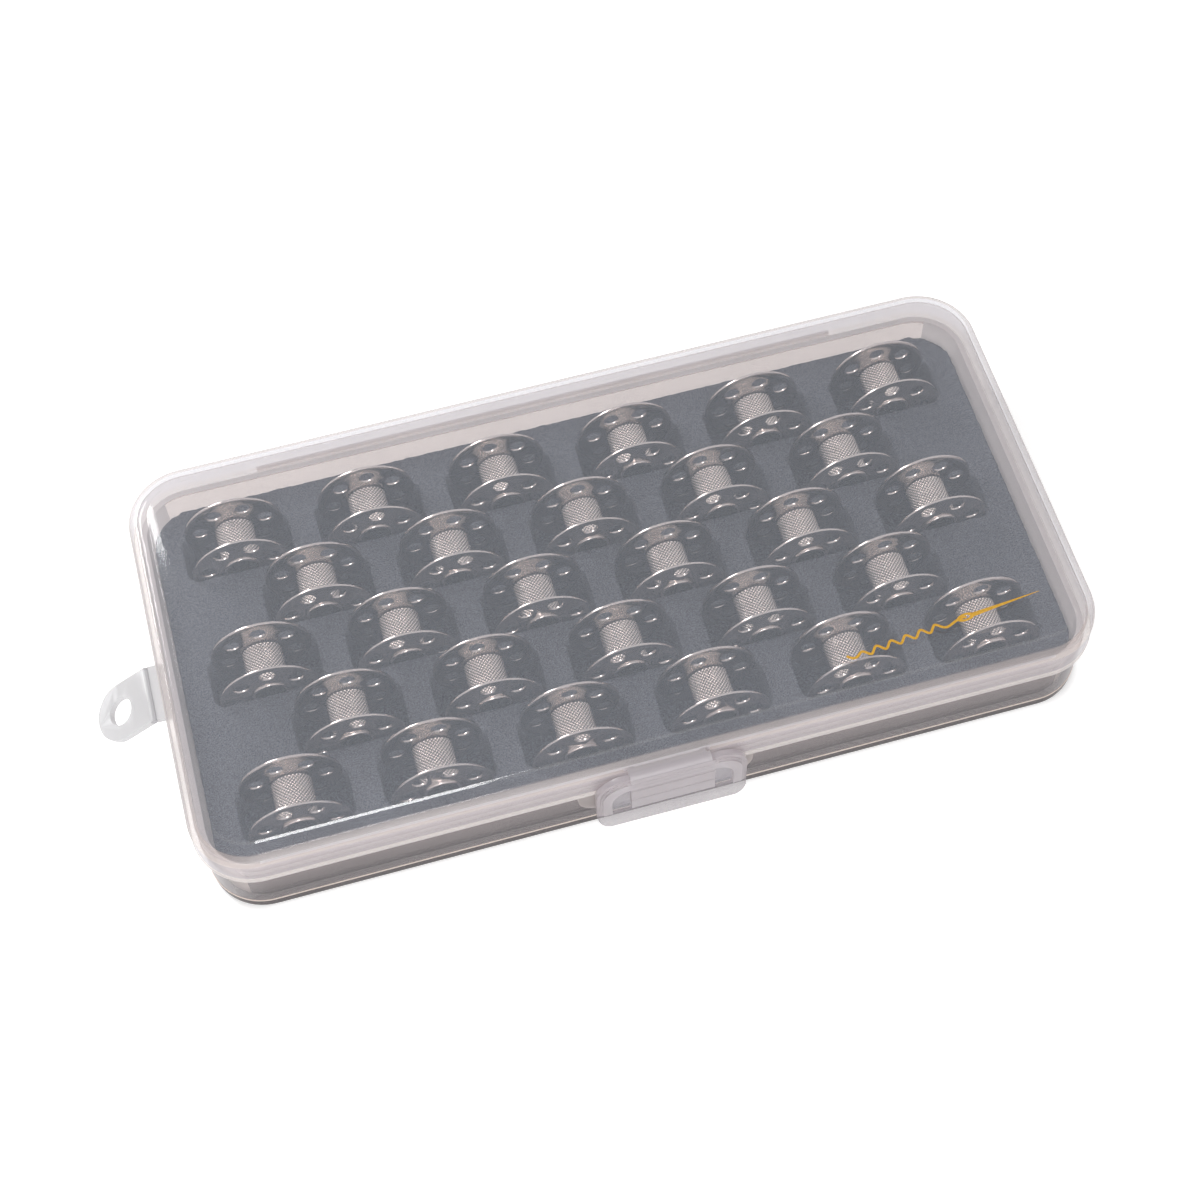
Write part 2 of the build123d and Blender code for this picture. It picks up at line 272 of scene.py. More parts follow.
def add_node(tree, kind, settings=(), **links):
    """Add a node, set its sockets, properties or stops, and link sockets by name or as _0, _1."""
    node = tree.nodes.new(kind)
    for key, value in dict(settings).items():
        if key == "stops":
            for element, (position, tint) in zip(node.color_ramp.elements, value):
                element.position, element.color = position, colour(tint)
        elif isinstance(key, int) or key in node.inputs:
            node.inputs[key].default_value = value
        else:
            setattr(node, key, value)
    for key, source in links.items():
        target = int(key[1:]) if key[1:].isdigit() else key.replace("_", " ")
        tree.links.new(source, node.inputs[target])
    return node


def new_material(name):
    """An empty node material, and its tree."""
    material = bpy.data.materials.new(name)
    material.use_nodes = True
    tree = material.node_tree
    tree.nodes.clear()
    return material, tree


def show(tree, shader):
    """Connect a shader to the material's or the world's output."""
    is_world = tree == scene.world.node_tree
    add_node(tree, "ShaderNodeOutputWorld" if is_world else "ShaderNodeOutputMaterial",
             Surface=shader)


print("mid grey 808080 is", round(colour("808080")[0], 3), "in linear light")

# %% [markdown]
# ## The sky
# Translucent plastic shows what surrounds it, so the light comes first. An even white sky
# stands for the room round a product table. It lights the case at a plain level, but what
# the camera, a reflection or a view through plastic meets is white at full strength.

# %% Sky
SKY_LIGHT = 0.34
scene.world = bpy.data.worlds.new("studio")
scene.world.use_nodes = True
sky = scene.world.node_tree
sky.nodes.clear()
path = add_node(sky, "ShaderNodeLightPath")
seen = add_node(sky, "ShaderNodeMath", {"operation": "MAXIMUM"},
                _0=path.outputs["Is Camera Ray"], _1=path.outputs["Is Glossy Ray"])
seen = add_node(sky, "ShaderNodeMath", {"operation": "MAXIMUM"},
                _0=seen.outputs[0], _1=path.outputs["Is Transmission Ray"])
strength = add_node(sky, "ShaderNodeMapRange", {"To Min": SKY_LIGHT, "To Max": 1.0},
                    Value=seen.outputs[0])
show(sky, add_node(sky, "ShaderNodeBackground", {"Color": colour("ffffff")},
                   Strength=strength.outputs[0]).outputs[0])
print("sky lights the case at", SKY_LIGHT)

# %% [markdown]
# ## The table
# A matt white table catches the case's shadow. Further out it glows a little for the camera
# alone, so that the case stands on plain white. From low down, the far end of the table is
# still a little greyer than the sky. The glow starts a few millimetres from the case,
# measured from a rectangle under it, and so leaves the narrow shadow as it is.

# %% Table
GLOW_CORE = (0.080, 0.035, 0)               # m, half the rectangle that the distance starts from
GLOW_START, GLOW_FULL = 0.0065, 0.0105      # m, where the glow begins and where it is full
GLOW_LIGHT = 0.5
deselect_all()
bpy.ops.mesh.primitive_plane_add(size=4, location=(0, 0, 0))
floor = bpy.context.object
floor.name = "floor"
# White laminate, pressed with a matt plate, so it has no gloss at all
laminate, tree = new_material("white_laminate_table")
place = add_node(tree, "ShaderNodeTexCoord")
away = add_node(tree, "ShaderNodeVectorMath", {"operation": "ABSOLUTE"},
                _0=place.outputs["Object"])
away = add_node(tree, "ShaderNodeVectorMath", {"operation": "SUBTRACT", 1: GLOW_CORE},
                _0=away.outputs[0])
away = add_node(tree, "ShaderNodeVectorMath", {"operation": "MAXIMUM", 1: (0, 0, 0)},
                _0=away.outputs[0])
away = add_node(tree, "ShaderNodeVectorMath", {"operation": "LENGTH"}, _0=away.outputs[0])
ramp = add_node(tree, "ShaderNodeMapRange",
                {"From Min": GLOW_START, "From Max": GLOW_FULL, "To Max": GLOW_LIGHT,
                 "interpolation_type": "SMOOTHSTEP"}, Value=away.outputs["Value"])
path = add_node(tree, "ShaderNodeLightPath")
lift = add_node(tree, "ShaderNodeMath", {"operation": "MULTIPLY"},
                _0=ramp.outputs[0], _1=path.outputs["Is Camera Ray"])
glow = add_node(tree, "ShaderNodeEmission", {"Color": colour("ffffff")}, Strength=lift.outputs[0])
matt = add_node(tree, "ShaderNodeBsdfDiffuse", {"Color": colour("f6f6f6")})
show(tree, add_node(tree, "ShaderNodeAddShader", _0=matt.outputs[0], _1=glow.outputs[0]).outputs[0])
floor.data.materials.append(laminate)
print("table is", round(floor.dimensions.x, 1), "m wide")

# %% [markdown]
# ## The lamps
# Three softboxes stand round the table. A tall strip in front draws the bright line along
# the lid's panel, a low box in front fills the upright walls, and a small box behind the
# left end makes that end a little brighter than the right one.

# %% Lamps


def lamp(name, place, width, length, watts):
    """A softbox that looks at the case, its width along X, in metres."""
    deselect_all()
    bpy.ops.object.light_add(type="AREA", location=place)
    light = bpy.context.object
    light.name = name
    light.data.shape, light.data.size, light.data.size_y = "RECTANGLE", width, length
    light.data.energy = watts
    light.rotation_euler = (-Vector(place)).to_track_quat("-Z", "Y").to_euler()
    return light


lamps = [lamp("strip_softbox", (-0.10, -0.83, 0.60), 0.19, 0.90, 4.9),
         lamp("low_softbox", (-0.15, -0.75, 0.14), 0.60, 0.20, 1.7),
         lamp("back_softbox", (-0.33, 0.40, 0.42), 0.20, 0.20, 2.1)]
print(len(lamps), "lamps,", round(sum(light.data.energy for light in lamps), 1), "W")

# %% [markdown]
# ## Sizes of the case
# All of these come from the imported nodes' boxes or from the drawing behind them. The tray's
# wall ends just under the lid's skirt, and its thinner lip goes on up inside the skirt.
# Several finishes and edges are picked by how far they reach in plan, so that measure is
# defined here too.

# %% Sizes
HALF_X, HALF_Y, CORNER = 90.0, 45.0, 12.0
SKIRT_LOW, RIM_TOP, LID_TOP, PANEL_UNDERSIDE = 14.8, 23.4, 23.8, 22.6
TRAY_TOP, LIP_TOP, FLOOR_TOP = 14.6, 16.8, 1.0
LEDGE_HALF, LEDGE_BACK, LEDGE_HEIGHT = 62.5, 45.76, 0.7


def plan_reach(point):
    """How far (mm) a point stands in plan from the rectangle between the corners' centres."""
    return math.hypot(max(abs(point.x) - (HALF_X - CORNER), 0),
                      max(abs(point.y) - (HALF_Y - CORNER), 0))


low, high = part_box("lid")
print("lid node is", [round((b - a) / MM, 1) for a, b in zip(low, high)], "mm")

# %% [markdown]
# ## The lid
# A lid like this is injection moulded: one even wall, a rounded rim and a panel that stands
# a little proud, which stiffens it. One cube gives all of it. The corners and rim are
# bevelled, the panel is an inset that is extruded up, and the hollow is an inset of the
# underside that is extruded in. The wall is solid, not a single surface, so the eye looks
# through an outer and an inner side, as it does in the real lid.

# %% Lid shell
RIM_ROUND, RIM_FLAT = 2.2, 1.6          # the rim's rounding, and the flat band inside it
PANEL_SLOPE, PANEL_EDGE = 0.42, 0.10    # how wide the panel's side is, and its edge's rounding
LID_WALL, HOLLOW_ROUND = 1.3, 1.5
lid_shell = block("lid_shell", (-HALF_X, -HALF_Y, SKIRT_LOW), (HALF_X, HALF_Y, RIM_TOP))
edit(lid_shell)
pick_edges(lid_shell, upright)
round_edges(CORNER, 16)
pick_edges(lid_shell, level(RIM_TOP))
round_edges(RIM_ROUND, 7)
pick_faces(lid_shell, lambda c, n: n.z > 0.999)
inset(RIM_FLAT)
bpy.ops.mesh.inset(thickness=PANEL_SLOPE * MM, depth=(LID_TOP - RIM_TOP) * MM,
                   use_even_offset=True)
pick_edges(lid_shell, level(LID_TOP))
round_edges(PANEL_EDGE, 2)
pick_faces(lid_shell, lambda c, n: n.z < -0.99 and c.z < SKIRT_LOW + 0.1)
inset(LID_WALL)
push(0, 0, PANEL_UNDERSIDE - SKIRT_LOW)
pick_edges(lid_shell, level(PANEL_UNDERSIDE))
round_edges(HOLLOW_ROUND, 5)
print("lid shell:", len(bmesh.from_edit_mesh(lid_shell.data).faces), "faces")

# %% [markdown]
# ### The skirt's lower lip
# A bead thickens the skirt's lower lip, where fingers lift the lid. Two loops are scored
# round the skirt, one at the top of the bead and one where the tray's own lip ends behind
# the skirt. The band below the first is extruded outwards, and its edges are rounded.

# %% Lip of the skirt
SKIRT_BEAD_TOP, SKIRT_BEAD_RISE, SKIRT_BEAD_ROUND = SKIRT_LOW + 0.75, 0.18, 0.17
DOUBLED_TOP = LIP_TOP - 0.5     # below this the eye looks through the lid and the tray's lip


def edge_reach(point):
    """How far (mm) a point of the lid stands outside its plain wall."""
    return plan_reach(point) - CORNER


score(SKIRT_BEAD_TOP)
score(DOUBLED_TOP)
pick_faces(lid_shell, lambda c, n: abs(n.z) < 0.1 and c.z < SKIRT_BEAD_TOP - 0.05
           and edge_reach(c) > -0.3)
thicken(SKIRT_BEAD_RISE)
pick_edges(lid_shell, lambda a, b: max(a.z, b.z) < SKIRT_BEAD_TOP + 0.05
           and abs(a.z - b.z) < NEAR and edge_reach(a) > 0.1 and edge_reach(b) > 0.1)
round_edges(SKIRT_BEAD_ROUND, 3)
deselect_all()
print("bead stands out", SKIRT_BEAD_RISE, "mm")

# %% [markdown]
# ### What the lid carries
# A ledge at the back holds the hinge. At the front, a short bar over the rim is the root of
# the latch's strap, and a small notch on each side of it frees the strap from the rim. They
# are separate closed shapes, joined or cut by a boolean, so the lid stays one solid.

# %% Ledge, notches and root bar
combine(lid_shell, block("ledge", (-LEDGE_HALF, HALF_Y - 0.6, SKIRT_LOW),
                         (LEDGE_HALF, LEDGE_BACK, SKIRT_LOW + LEDGE_HEIGHT)))
for near, far in ((-8.5, -6.5), (6.5, 8.5)):
    combine(lid_shell, block("notch", (near, -46, 21.0), (far, -44.6, 22.3)), "DIFFERENCE")
ROOT_HALF, ROOT_LOW, ROOT_TOP = 7.8, 21.2, 22.05
root = block("root", (-ROOT_HALF, -46.3, ROOT_LOW), (ROOT_HALF, -43.72, ROOT_TOP))
soften(root, 0.3, 3)
combine(lid_shell, root)
smooth(lid_shell)

# %% [markdown]
# ## A printed ornament
# Such lids often carry a small gold print in a corner of the panel. Here it is a generic
# sewing motif, a needle with its thread. Pad-printed ink is a skin a few hundredths of a
# millimetre thick, so solid shapes are drawn first and then flattened onto the panel. The
# thread is a curve with a round section, and it is made a mesh before anything else.

# %% Thread
WAVES, WAVE_START, WAVE_STEP, WAVE_HEIGHT = 14, -20.5, 1.55, 1.9
THREAD_END = [(2.6, 0.5), (4.6, 0)]
THREAD_RADIUS = 0.26
deselect_all()
bpy.ops.curve.primitive_nurbs_path_add(location=(0, 0, 0))
thread = bpy.context.object
thread.name = "gold_print"
waves = [(WAVE_START + WAVE_STEP * step, WAVE_HEIGHT * (-1) ** step * min(1, (step + 1) / 3))
         for step in range(WAVES)]
line = thread.data.splines[0]
line.points.add(len(waves + THREAD_END) - len(line.points))
for point, (x, y) in zip(line.points, waves + THREAD_END):
    point.co = (x * MM, y * MM, 0, 1)
line.order_u, line.use_endpoint_u = 4, True
thread.data.bevel_depth, thread.data.bevel_resolution = THREAD_RADIUS * MM, 2
thread.data.use_fill_caps = True
bpy.ops.object.convert(target="MESH")
print("thread:", len(thread.data.polygons), "faces")

# %% [markdown]
# ### The needle
# A long cone is the needle and a stretched ring is its eye. They are joined to the thread,
# and the whole is flattened, turned and set a hair above the panel.

# %% Needle, and the whole print
NEEDLE_LENGTH, NEEDLE_CENTRE, EYE_CENTRE, EYE_STRETCH = 14.6, 12.9, 4.4, 2.2
PRINT_CENTRE, PRINT_TURN, PRINT_LIFT, PRINT_FLATTEN = (59.5, -33.0), 5.6, 0.01, 0.08
bpy.ops.mesh.primitive_cone_add(
    vertices=16, radius1=0.46 * MM, radius2=0.05 * MM, depth=NEEDLE_LENGTH * MM,
    location=(NEEDLE_CENTRE * MM, 0, 0), rotation=(0, math.pi / 2, 0))
needle = bpy.context.object
bpy.ops.mesh.primitive_torus_add(
    major_radius=0.62 * MM, minor_radius=0.22 * MM, major_segments=32, minor_segments=8,
    location=(EYE_CENTRE * MM, 0, 0))
eye = bpy.context.object
eye.scale = (EYE_STRETCH, 1, 1)
join(thread, [needle, eye])
thread.scale = (1, 1, PRINT_FLATTEN)
thread.rotation_euler = (0, 0, math.radians(PRINT_TURN))
thread.location = (PRINT_CENTRE[0] * MM, PRINT_CENTRE[1] * MM, (LID_TOP + PRINT_LIFT) * MM)
bake_place()
smooth(thread, 50)
print("ornament is", [round(side / MM, 2) for side in thread.dimensions], "mm")

# %% [markdown]
# ## The tray
# The tray is the same kind of shell turned over. Its top steps in to a lip that the lid's
# skirt closes over. Near the bottom a fine bead runs round the outside. It is made as the
# skirt's is: two scored loops, and the band between them extruded outwards.

# %% Tray shell
TRAY_INSET = 1.0        # how far the tray's wall stands inside the lid's
TRAY_EDGE, LIP_STEP, TRAY_WALL, FLOOR_ROUND = 0.6, 0.6, 1.2, 0.8
BEAD_LOW, BEAD_TOP, BEAD_RISE = 2.6, 3.0, 0.10
TRAY_X, TRAY_Y = HALF_X - TRAY_INSET, HALF_Y - TRAY_INSET


def tray_outside(point):
    """Whether a point (mm) lies on the tray's outer wall."""
    return plan_reach(point) > CORNER - 1.5


tray_shell = block("tray_shell", (-TRAY_X, -TRAY_Y, 0), (TRAY_X, TRAY_Y, TRAY_TOP))
edit(tray_shell)
pick_edges(tray_shell, upright)
round_edges(CORNER - TRAY_INSET, 16)
pick_edges(tray_shell, level(0))
round_edges(TRAY_EDGE, 4)
pick_faces(tray_shell, lambda c, n: n.z > 0.99)
inset(LIP_STEP)
push(0, 0, LIP_TOP - TRAY_TOP)
inset(TRAY_WALL)
push(0, 0, FLOOR_TOP - LIP_TOP)
pick_edges(tray_shell, level(FLOOR_TOP))
round_edges(FLOOR_ROUND, 4)
score(BEAD_LOW)
score(BEAD_TOP)
pick_faces(tray_shell, lambda c, n: abs(n.z) < 0.1 and BEAD_LOW < c.z < BEAD_TOP
           and tray_outside(c))
thicken(BEAD_RISE)
deselect_all()
print("tray shell:", len(tray_shell.data.polygons), "faces")

# %% [markdown]
# ### What the tray carries
# A ledge at the back meets the lid's, with the hinge between them. A flat lug at the front
# holds the rib that the latch hooks behind. Its two lower corners are well rounded, and the
# rib's upper edge is drawn back, so that the hook rides over it from above.

# %% Ledge, lug and rib
LUG_HALF, LUG_LOW, LUG_TOP, LUG_ROUND = 17.5, 6.8, 14.2, 5
RIB_HALF, RIB_LOW, RIB_TOP, RIB_RAMP = 10, 9.4, 11.0, 0.45
combine(tray_shell, block("ledge", (-LEDGE_HALF, TRAY_Y - 0.6, TRAY_TOP - LEDGE_HEIGHT),
                          (LEDGE_HALF, LEDGE_BACK, TRAY_TOP)))
lug = block("lug", (-LUG_HALF, -44.5, LUG_LOW), (LUG_HALF, -43.5, LUG_TOP))
edit(lug)
pick_edges(lug, lambda a, b: max(a.z, b.z) < LUG_LOW + 0.2 and abs(a.y - b.y) > 0.5)
round_edges(LUG_ROUND, 8)
deselect_all()
combine(tray_shell, lug)
rib = block("rib", (-RIB_HALF, -45.0, RIB_LOW), (RIB_HALF, -44.2, RIB_TOP))
edit(rib)
pick_edges(rib, lambda a, b: min(a.z, b.z) > RIB_TOP - 0.1 and max(a.y, b.y) < -44.9)
slide(0, RIB_RAMP, 0)
deselect_all()
combine(tray_shell, rib)
print("lug is", 2 * LUG_HALF, "mm wide and its rib", 2 * RIB_HALF)

# %% [markdown]
# ### The hang tab's root block
# The block at the left end carries the tab's fold. A round seat is cut across it, a little
# wider than the tab's nose, which turns in it.

# %% Root block of the hang tab
TAB_PIVOT, TAB_HALF, TAB_SEAT = (-93, 0, 13.8), 6, 0.74
tab_block = block("tab_block", (-92.36, -TAB_HALF, 13.1), (-88.4, TAB_HALF, 14.5))
combine(tab_block, rod("seat", TAB_SEAT, 14, TAB_PIVOT, "Y"), "DIFFERENCE")
combine(tray_shell, tab_block)
smooth(tray_shell)

# %% [markdown]
# ## The latch
# The latch is the piece that a hand touches, and it has the most form: a strap with a round
# nose that turns under the lid, an arched plate with a double-stepped border, a sunk field
# inside it that is open downwards, a stepped block down the middle of that field and a lip
# that flares out for a fingertip.
#
# The fold over the nose is a thin skin of its own. A tube is cut to a quarter and a little more,
# and then scaled to an ellipse and set over the root bar.

# %% Fold of the latch
LATCH_AXIS, LATCH_SHIFT = (0, -46.0, 21.6), 0.6
FOLD_LENGTH, FOLD_HOLLOW, FOLD_SCALE = 16.0, 0.78, (1, 1.40, 0.95)
FOLD_CENTRE = (0.3, -45.9, 21.15)
latch_fold = rod("latch_fold", 1, FOLD_LENGTH, (0, 0, 0), "X", sides=96)
combine(latch_fold, rod("hollow", FOLD_HOLLOW, 17, (0, 0, 0), "X", sides=96), "DIFFERENCE")
combine(latch_fold, block("behind", (-9, 0.3, -2), (9, 2, 2)), "DIFFERENCE")
combine(latch_fold, block("below", (-9, -2, -2), (9, 2, -0.05)), "DIFFERENCE")
activate(latch_fold)
latch_fold.scale = FOLD_SCALE
latch_fold.location = [c * MM for c in FOLD_CENTRE]
bake_place()
smooth(latch_fold, 50)

# %% [markdown]
# ### The plate and its lip
# One cube is the plate. Its underside is extruded down and forwards for the lip. The two
# upper corners are rounded well, which makes the arch, and the lip's two a little less. The
# face is then inset and extruded forwards twice, which leaves the double-stepped border.

# %% Latch plate
LATCH_HALF, PLATE_BACK, PLATE_FRONT, PLATE_TOP = 15, -45.5, -46.7, 21.0
HOOK_LOW, HOOK_TOP, LIP_EDGE, LIP_FLARE = 7.6, 9.2, 4.5, 1.25
ARCH_ROUND, LIP_ROUND, BORDER_RISE = 6, 2.8, 0.35
front_latch = block("latch", (-LATCH_HALF, PLATE_FRONT, HOOK_LOW),
                    (LATCH_HALF, PLATE_BACK, PLATE_TOP))
edit(front_latch)
pick_faces(front_latch, lambda c, n: n.z < -0.99)
push(0, -LIP_FLARE, LIP_EDGE - HOOK_LOW)
pick_edges(front_latch, lambda a, b: min(a.z, b.z) > PLATE_TOP - 0.1 and abs(a.y - b.y) > 1)
round_edges(ARCH_ROUND, 12)
pick_edges(front_latch, lambda a, b: max(a.z, b.z) < LIP_EDGE + 0.1 and abs(a.y - b.y) > 1)
round_edges(LIP_ROUND, 8)
pick_faces(front_latch, lambda c, n: n.y < -0.99)
for width in (0.7, 0.5):
    inset(width)
    push(0, -BORDER_RISE, 0)
deselect_all()
print("latch plate:", len(front_latch.data.polygons), "faces")

# %% [markdown]
# ### The field and the strap
# The field and the block are closed shapes cut or joined by a boolean, which keeps the
# plate one watertight solid. The block is the strap's lower end, and it stands out further
# with each step down. The field's floor is thinner than the rest, so it lets most light in.

# %% Sunk field and stepped strap
FIELD_HALF, FIELD_DEPTH, FIELD_TOP, FIELD_ROUND = 12.1, 0.35, 17.6, 4.2
STRAP_HALF = 8.3
STRAP_STEPS = ((16.6, 21.2, 0.62), (13.2, 16.7, 0.78), (9.8, 13.3, 0.94))  # bottom, top, rise
field = block("field", (-FIELD_HALF, PLATE_FRONT - 3, HOOK_LOW + 0.15),
              (FIELD_HALF, PLATE_FRONT + FIELD_DEPTH, FIELD_TOP))
edit(field)
pick_edges(field, lambda a, b: abs(a.y - b.y) > 1 and min(a.z, b.z) > FIELD_TOP - 0.6)
round_edges(FIELD_ROUND, 10)
combine(front_latch, field, "DIFFERENCE")
for bottom, top, rise in STRAP_STEPS:
    combine(front_latch, block("step", (-STRAP_HALF, PLATE_FRONT - rise, bottom),
                               (STRAP_HALF, PLATE_BACK - 0.3, top)))
print("strap has", len(STRAP_STEPS), "steps")

# %% [markdown]
# ### The nose and the hook
# A round hollow is cut behind the strap, so that the root bar has room when the latch
# swings. A thin neck with a round nose goes back in it, on the joint's axis. A skin in front
# carries the strap up to the fold. Behind the lower edge is the hook, with its foot drawn
# forwards, so that it slips over the tray's rib. At last the whole latch is moved a little
# to the right of the lug's middle.

# %% Nose, skin and hook
RELIEF_RADIUS, RELIEF_LENGTH = 1.44, 15.08
NECK_HALF, NOSE_RADIUS, HOOK_RAMP = 7.5, 0.4, 0.5
combine(front_latch, rod("relief", RELIEF_RADIUS, RELIEF_LENGTH, LATCH_AXIS, "X"), "DIFFERENCE")
neck = block("neck", (-NECK_HALF, -46.6, 19.0), (NECK_HALF, -45.4, 21.3))
combine(neck, rod("nose", NOSE_RADIUS, 2 * NECK_HALF, LATCH_AXIS, "X"))
combine(front_latch, neck)
combine(front_latch, block("skin", (-ROOT_HALF, PLATE_FRONT - 0.62, 17.0),
                           (ROOT_HALF, PLATE_FRONT - 0.30, 21.35)))
hook = block("hook", (-RIB_HALF, -45.7, HOOK_LOW), (RIB_HALF, -45.1, HOOK_TOP))
edit(hook)
pick_edges(hook, lambda a, b: max(a.z, b.z) < HOOK_LOW + 0.1 and min(a.y, b.y) > -45.2)
slide(0, -HOOK_RAMP, 0)
deselect_all()
combine(front_latch, hook)
soften(front_latch, 0.14, 2, 50)
activate(front_latch)
front_latch.location = (LATCH_SHIFT * MM, 0, 0)
bake_place()
smooth(front_latch, 40)

# %% [markdown]
# ## The hang tab
# A round-ended tab with a punched hole, moulded with the tray and joined to it by a thin
# fold. It is drawn flat round its fold, cut and softened, and then turned to where it droops.

# %% Hang tab
TAB_REACH, TAB_THICKNESS, TAB_HOLE, TAB_DROOP = 7.3, 1.4, 2.9, 33
tab = block("hang_tab_piece", (-TAB_REACH, -TAB_HALF, -TAB_THICKNESS / 2),
            (0, TAB_HALF, TAB_THICKNESS / 2))
combine(tab, rod("round_end", TAB_HALF, TAB_THICKNESS, (-TAB_REACH, 0, 0), sides=64))
combine(tab, rod("nose", TAB_THICKNESS / 2, 2 * TAB_HALF, (0, 0, 0), "Y"))
combine(tab, rod("hole", TAB_HOLE, 4, (-TAB_REACH, 0, 0), sides=48), "DIFFERENCE")
soften(tab, 0.2, 3, 60)
activate(tab)
tab.rotation_euler = (0, math.radians(-TAB_DROOP), 0)
tab.location = [c * MM for c in TAB_PIVOT]
bake_place()
smooth(tab)

# %% [markdown]
# ## The foam
# The bobbins stand in five rows of six and five, each row half a step beside the next. The
# same list of places cuts the foam's slots and sets the bobbins.

# %% Where the bobbins stand
ROWS = (6, 5, 6, 5, 6)
PITCH_X, PITCH_Y, AXIS_Z = 27.94, 14.9, 11.95
places = [((column - (count - 1) / 2) * PITCH_X, (2 - row) * PITCH_Y)
          for row, count in enumerate(ROWS) for column in range(count)]
print(len(places), "bobbins")

# %% [markdown]
# ### The slotted sheet
# Foam is die-cut, and a blade never leaves it as crisp as plastic: the walls of each slot
# and the outer edge are slightly torn. The sheet is cut by 28 slots, remeshed to even
# faces, and then its walls alone are displaced by a cloud pattern. The top is left flat.

# %% Slotted sheet
BACKING_LOW, FOAM_LOW, FOAM_TOP = 1.1, 1.7, 12.0
FOAM_X, FOAM_Y, FOAM_CORNER = 86.6, 41.6, 8.6
SLOT_X, SLOT_Y, SLOT_CORNER = 11.05, 5.5, 2
foam = block("foam_pad", (-FOAM_X, -FOAM_Y, FOAM_LOW), (FOAM_X, FOAM_Y, FOAM_TOP))
edit(foam)
pick_edges(foam, upright)
round_edges(FOAM_CORNER, 10)
cutter = None
for x, y in places:
    slot_block = block("slot", (x - SLOT_X, y - SLOT_Y, 0), (x + SLOT_X, y + SLOT_Y, 14))
    edit(slot_block)
    pick_edges(slot_block, upright)
    round_edges(SLOT_CORNER, 5)
    deselect_all()
    if cutter is None:
        cutter = slot_block
    else:
        join(cutter, [slot_block])
combine(foam, cutter, "DIFFERENCE")
print("slotted sheet:", len(foam.data.polygons), "faces")

# %% Torn walls
FOAM_FACE, TEAR_SIZE, TEAR_DEPTH = 0.70, 1.3, 0.45
activate(foam)
step = foam.modifiers.new("even_faces", "REMESH")
step.mode, step.voxel_size, step.use_smooth_shade = "VOXEL", FOAM_FACE * MM, True
bpy.ops.object.modifier_apply(modifier=step.name)
walls = foam.vertex_groups.new(name="walls")
walls.add([v.index for v in foam.data.vertices if abs(v.normal.z) < 0.8], 1.0, "REPLACE")
torn = bpy.data.textures.new("torn_edge", "CLOUDS")
torn.noise_scale, torn.noise_depth = TEAR_SIZE * MM, 3
step = foam.modifiers.new("torn_walls", "DISPLACE")
step.texture, step.texture_coords, step.vertex_group = torn, "LOCAL", "walls"
step.strength, step.mid_level = TEAR_DEPTH * MM, 0.5
bpy.ops.object.modifier_apply(modifier=step.name)
smooth(foam, 60)

# %% [markdown]
# ### The backing
# A blade cuts right through a sheet, so a slot with foam under it means two layers: the cut
# sheet is bonded to a thin uncut one. The backing shows only at the bottom of each slot.

# %% Foam backing
backing = block("foam_backing_piece", (-FOAM_X, -FOAM_Y, BACKING_LOW), (FOAM_X, FOAM_Y, FOAM_LOW))
edit(backing)
pick_edges(backing, upright)
round_edges(FOAM_CORNER, 10)
deselect_all()
soften(backing, 0.1, 1, 60)
smooth(backing)

# %% [markdown]
# ## The bobbins
# Each bobbin is pressed from sheet and tube: two flanges with a ring of holes and a rolled
# edge, on a hub with a knurl that grips the thread, and the hub's ends are rolled over to
# hold it all. One is modelled round the origin, with its axis along Y, and then copied.

# %% Flange
FLANGE_RADIUS, HALF_LENGTH, SHEET = 10.15, 5.1, 0.45
FLANGE_ROLL, ROLL_WIDTH = 0.2, 0.6
HOLES, HOLE_RADIUS, HOLE_CIRCLE = 7, 1.6, 7.0
flange = rod("flange", FLANGE_RADIUS, SHEET, (0, -HALF_LENGTH + SHEET / 2, 0), "Y", 72)
edit(flange)
for side in (-1, 1):
    pick_faces(flange, lambda c, n: n.y * side > 0.99 and c.length < 6)
    inset(ROLL_WIDTH)
pick_faces(flange, lambda c, n: abs(n.y) < 0.5)
slide(0, -FLANGE_ROLL, 0)
deselect_all()
for number in range(HOLES):
    angle = math.radians(number * 360 / HOLES)
    centre = (HOLE_CIRCLE * math.cos(angle), -HALF_LENGTH, HOLE_CIRCLE * math.sin(angle))
    combine(flange, rod("hole", HOLE_RADIUS, 3, centre, "Y", 24), "DIFFERENCE")
combine(flange, rod("bore", 3.2, 3, (0, -HALF_LENGTH, 0), "Y", 36), "DIFFERENCE")
soften(flange, 0.11, 2, 50)
smooth(flange, 30)
